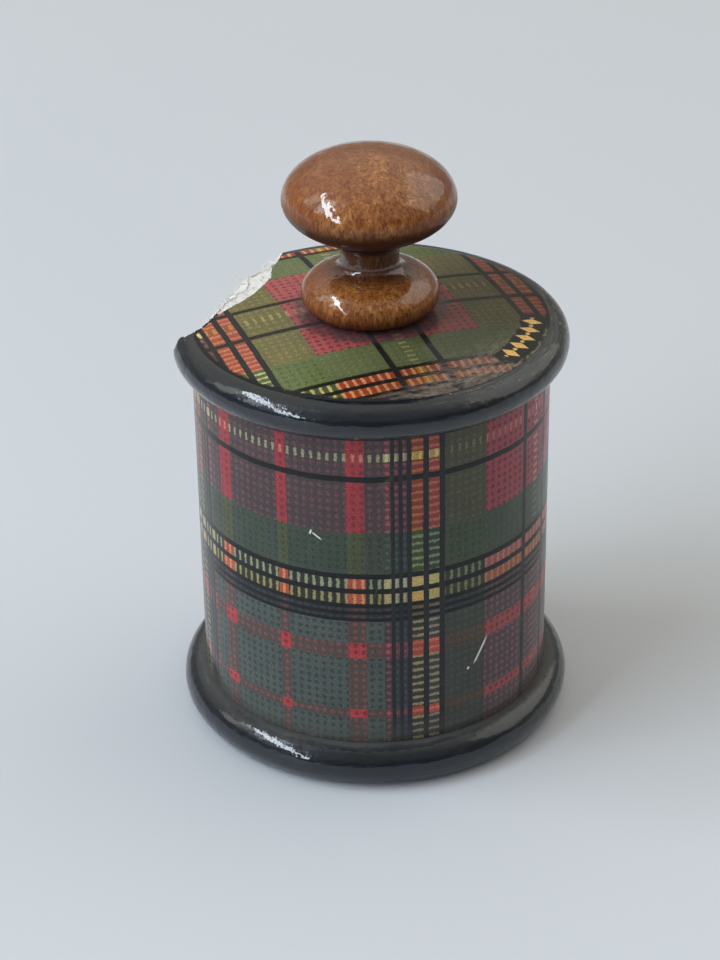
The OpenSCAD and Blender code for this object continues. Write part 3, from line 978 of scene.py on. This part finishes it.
# -------------------- lid paper
def paper_shape(r, z, a, i):
    """The paper lies on the wood, thins out at its rim, and lifts a little along the tear."""
    limit = paper_edge[a]
    top = i >= len(under)
    rr = min(r, limit)
    lift = 0.0
    if top and rr > BREAK_R and limit - rr < 0.9:
        lift = 0.10 * max(0.0, rough(a * 22, 0, 0, 6.0)) * (1 - (limit - rr) / 0.9)
    thick = PAPER_T * min(1.0, 0.25 + (CROWN_R - rr) / 0.8)
    return rr, crown(rr) + (thick + lift if top else lift * 0.6 + 0.005)


radii = [HOLE_R, 4, 6, 8, 9.5] + [10.2 + 0.3 * i for i in range(29)] + [CROWN_R]
under = [(r, 0) for r in radii]
bm = turned(under + [(r, 0) for r in radii[::-1]], angles, paper_shape)
for f in bm.faces:
    r, a, z = polar(f)
    f.normal_update()
    torn = FIRST < a < LAST and r > BREAK_R and r > reach(PAPER_TEAR, a) - 0.4
    if torn and abs(f.normal.z) < 0.6:
        f.material_index = 1
piece("tartan_lid_paper", bm, "lid", [lid_print, core], stands_for=["lid_paper"])


# -------------------- splinters and paper fluff
def fringe():
    """Thin tapering strips along the break: every third is a shred of paper, the rest wood."""
    rng = random.Random(7)
    bm = bmesh.new()
    for n in range(230):
        a = math.radians(rng.triangular(122, 184, 150))
        shred = n % 3 == 0
        top = crown(min(broken_at(a, LID_TOP), CROWN_R))
        z = top - 0.12 + rng.uniform(-0.1, 0.05) if shred else top - rng.uniform(0.1, 3.2)
        r = reach(PAPER_TEAR, a) + rng.uniform(0.1, 1.0) if shred else broken_at(a, z) - 0.25
        r = min(r, broken_at(a, z) - 0.05)
        out = Vector((math.cos(a), math.sin(a), 0))
        grain = Vector((math.cos(GRAIN), math.sin(GRAIN), 0)) * rng.choice((-1, 1))
        way = out * rng.uniform(0.35, 1.0) + grain * rng.uniform(0.0, 0.9)
        way.z = rng.uniform(-0.25, 0.2)
        way.normalize()
        length = rng.uniform(0.5, 1.3) if shred else rng.uniform(0.4, 1.5)
        width = rng.uniform(0.3, 0.8) if shred else rng.uniform(0.07, 0.28)
        thick = 0.05 if shred else rng.uniform(0.05, 0.14)
        side = way.cross(Vector((0, 0, 1))).normalized()
        lift = side.cross(way).normalized()
        root = out * r + Vector((0, 0, z))
        rows = []
        for k in range(5):
            f = k / 4
            taper = (1 - f) ** (0.4 if shred else 0.9) + 0.06
            sway = side * 0.12 * rng.uniform(-1, 1) + lift * 0.05 * rng.uniform(-1, 1)
            mid = root + way * length * f + (sway if 0 < k else Vector())
            w, h = side * width * taper / 2, lift * thick * (0.4 + 0.6 * taper) / 2
            rows.append([bm.verts.new((mid + q) * MM) for q in (w + h, -w + h, -w - h, w - h)])
        for low, high in zip(rows, rows[1:]):
            for j in range(4):
                bm.faces.new([low[j], low[(j + 1) % 4], high[(j + 1) % 4], high[j]])
        bm.faces.new(rows[0][::-1])
        bm.faces.new(rows[-1])
    return bm


piece("torn_fringe", fringe(), "lid", [core], sharp=60)

# -------------------- knob
neck_r, cove_r = 3.1, 1.9
foot_z, neck_z, head_z = KNOB_Z + 1.9, KNOB_Z + 5.6, KNOB_Z + 12.4
outline = [(0, knob_lo.z), (TENON_R, knob_lo.z)]
outline += [(r, crown(r) + PAPER_T) for r in (TENON_R, 2.9, 3.5, 4.0, 4.4)]
outline += arc(5.7, foot_z, 1.6, 1.75, -80, 0, 16) + arc(3, foot_z, 4.3, 2.7, 4, 70, 24)
outline += arc(neck_r + cove_r, neck_z, cove_r, 1.25, 240, 180, 14)
outline += arc(neck_r + cove_r, neck_z + 0.7, cove_r, 2.3, 180, 105, 18)
outline += arc(0, head_z, HEAD_R, 4.4, -57, 0, 26)
outline += arc(0, head_z, HEAD_R, 5.1, 4, 90, 36)[:-1] + [(0, knob_hi.z)]


def knob_shape(r, z, a, i):
    """The knob is turned a little out of true."""
    if z > KNOB_Z:
        r *= 1 - 0.006 * (0.5 + 0.5 * rough(1.2 * math.cos(a), 1.2 * math.sin(a), z * 0.3, 3.0))
    return r, z


piece("varnished_knob", turned(outline, 192, knob_shape), "lid", [knob_finish], sharp=30,
      stands_for=["knob"])

# -------------------- reel and its thread
z0, z1 = reel_lo.z, reel_hi.z
outline = [(REEL_BORE, z0), (REEL_R - 0.5, z0)] + arc(REEL_R - 0.5, z0 + 0.5, 0.5, 0.5, -90, 0, 8)
outline += arc(REEL_R - 0.35, z0 + 1.3, 0.35, 0.35, 0, 70, 6)
outline += line((REEL_R - 0.6, z0 + 1.62), (REEL_CORE, z0 + 4.88), 8)
mirrored = [(r, z0 + z1 - z) for r, z in outline][::-1]
piece("turned_reel", turned(outline + mirrored, 160), "reel", [birch], stands_for=["reel"])


def winding(r, z, a, i):
    """The thread's outside is a helix of ridges, wound a little unevenly."""
    if r < thread_hi.x - 0.4:
        return r, z
    ridge = abs(math.cos(math.pi * (z / THREAD_STEP + a / (2 * math.pi))))
    tension = 0.08 * rough(2 * math.cos(a), 2 * math.sin(a), z * 0.8, 5.0) - 0.05
    return thread_hi.x - 0.11 + 0.09 * ridge ** 0.5 + min(0.0, tension), z


THREAD_STEP = 0.42
lo, hi, top_r = thread_lo.z, thread_hi.z, thread_hi.x
core_r = REEL_CORE + 0.02
flare = FLANGE_T / (REEL_R - REEL_CORE) * (top_r - core_r)
outline = [(core_r, lo + flare), (top_r - 0.5, lo + 0.25)]
outline += line((top_r, lo + 0.05), (top_r, hi - 0.05), 290)
outline += [(top_r - 0.5, hi - 0.25), (core_r, hi - flare)]
piece("wound_thread", turned(outline, 110, winding), "reel", [thread_finish], sharp=80,
      stands_for=["thread"])

# -------------------- CAD nodes that stay as they are
for node, finish, slot in (
    ("barrel", sycamore, "sycamore"),
    ("lid_plug", sycamore, "sycamore"),
    ("spindle", peg_finish, "peg_wood"),
    ("base_paper", base_print, "tartan_paper"),
    ("floor_lining", lining_finish, "lining_paper"),
    ("reel_label_top", label_finish, "label_paper"),
    ("reel_label_bottom", label_finish, "label_paper"),
):
    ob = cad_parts[node]
    ob.data.materials.clear()
    ob.data.materials.append(finish)

# -------------------- floor, light and camera
table, t = material("pale_table")
across = t.new("TexCoord").outputs["Object"]
tint = t.ramp(t.noise(across, 3.0, 2.0), [(0.3, ink("d2d7df")), (0.7, ink("d9dde4"))])
shade(t, Base_Color=tint, Roughness=0.55)
bm = bmesh.new()
bmesh.ops.create_circle(bm, cap_ends=True, segments=96, radius=4.0)
me = bpy.data.meshes.new("floor")
bm.to_mesh(me)
bm.free()
me.materials.append(table)
floor = bpy.data.objects.new("floor", me)
bpy.context.scene.collection.objects.link(floor)
floor.location.z = -0.02 * MM


def lamp(name, azimuth, elevation, distance, width, height, watts, colour, lean=0.0):
    """A soft panel that faces the object. Azimuth 0 is the camera's side and grows to the right.

    lean turns the panel in its own plane, in degrees: its top goes to the right, seen from the object.
    """
    data = bpy.data.lights.new(name, "AREA")
    data.shape = "RECTANGLE"
    data.size, data.size_y = width, height
    data.energy = watts
    data.color = colour
    ob = bpy.data.objects.new(name, data)
    bpy.context.scene.collection.objects.link(ob)
    a, e = math.radians(azimuth), math.radians(elevation)
    back = Vector((math.sin(a) * math.cos(e), -math.cos(a) * math.cos(e), math.sin(e)))
    ob.location = Vector((0, 0, 35 * MM)) + back * distance
    ob.rotation_mode = "QUATERNION"
    ob.rotation_quaternion = back.to_track_quat("Z", "Y") @ Quaternion((0, 0, 1), math.radians(lean))


lamp("window", -66, 42, 1.0, 0.32, 0.9, 0.35, (0.76, 0.87, 1.0))
lamp("window_side", -75, 40, 1.0, 0.12, 0.6, 0.6, (0.78, 0.88, 1.0))
lamp("window_sun", -63, 37, 0.9, 0.125, 1.25, 6.4, (0.8, 0.9, 1.0), lean=48)
lamp("window_trees", -98, 36, 1.0, 0.24, 0.5, 0.5, (0.95, 0.95, 0.84))
lamp("pale_wall", 110, 38, 1.2, 1.4, 0.9, 2.9, (1.0, 0.97, 0.9))
world = bpy.data.worlds.new("soft_room")
world.use_nodes = True
w = Tree(world.node_tree)
way = w.fed("SeparateXYZ", (w.new("TexCoord").outputs["Generated"],))
# The room is darker below than above, and behind the camera than in front of it.
rise = [(0.0, 0.24), (0.3, 0.26), (0.5, 0.58), (0.75, 0.66), (1.0, 0.76)]
room = w.ramp(way[2], [(h, (v, 0.97 * v, 0.87 * v)) for h, v in rise])
near = w.wide(way[1], -0.6, 0.3, 0.5, 1.0)
room = w.mix(1.0, room, w.join(near, near, near), "MULTIPLY")
w.put(world.node_tree.nodes["Background"].inputs[0], room)
bpy.context.scene.world = world
bpy.context.scene.view_settings.view_transform = "Standard"

camera = bpy.data.objects.new("camera", bpy.data.cameras.new("camera"))
bpy.context.scene.collection.objects.link(camera)
camera.data.sensor_width = 36
camera.data.lens = 97.875
camera.data.clip_start = 0.01
# The camera faces a point on the object's axis from its front, and is then turned a little
# about its own up, right and back axes, as the photograph is framed.
FACED_Z, AWAY, ELEVATION = 23.1 * MM, 285.6 * MM, 30.2
stance = Matrix.Translation((0, 0, FACED_Z)) @ Matrix.Rotation(math.radians(90 - ELEVATION), 4, "X")
stance = stance @ Matrix.Translation((0, 0, AWAY))
for axis, degrees in (("Y", 0.28), ("X", 0.51), ("Z", -0.75)):
    stance = stance @ Matrix.Rotation(math.radians(degrees), 4, axis)
camera.matrix_world = stance
bpy.context.scene.camera = camera
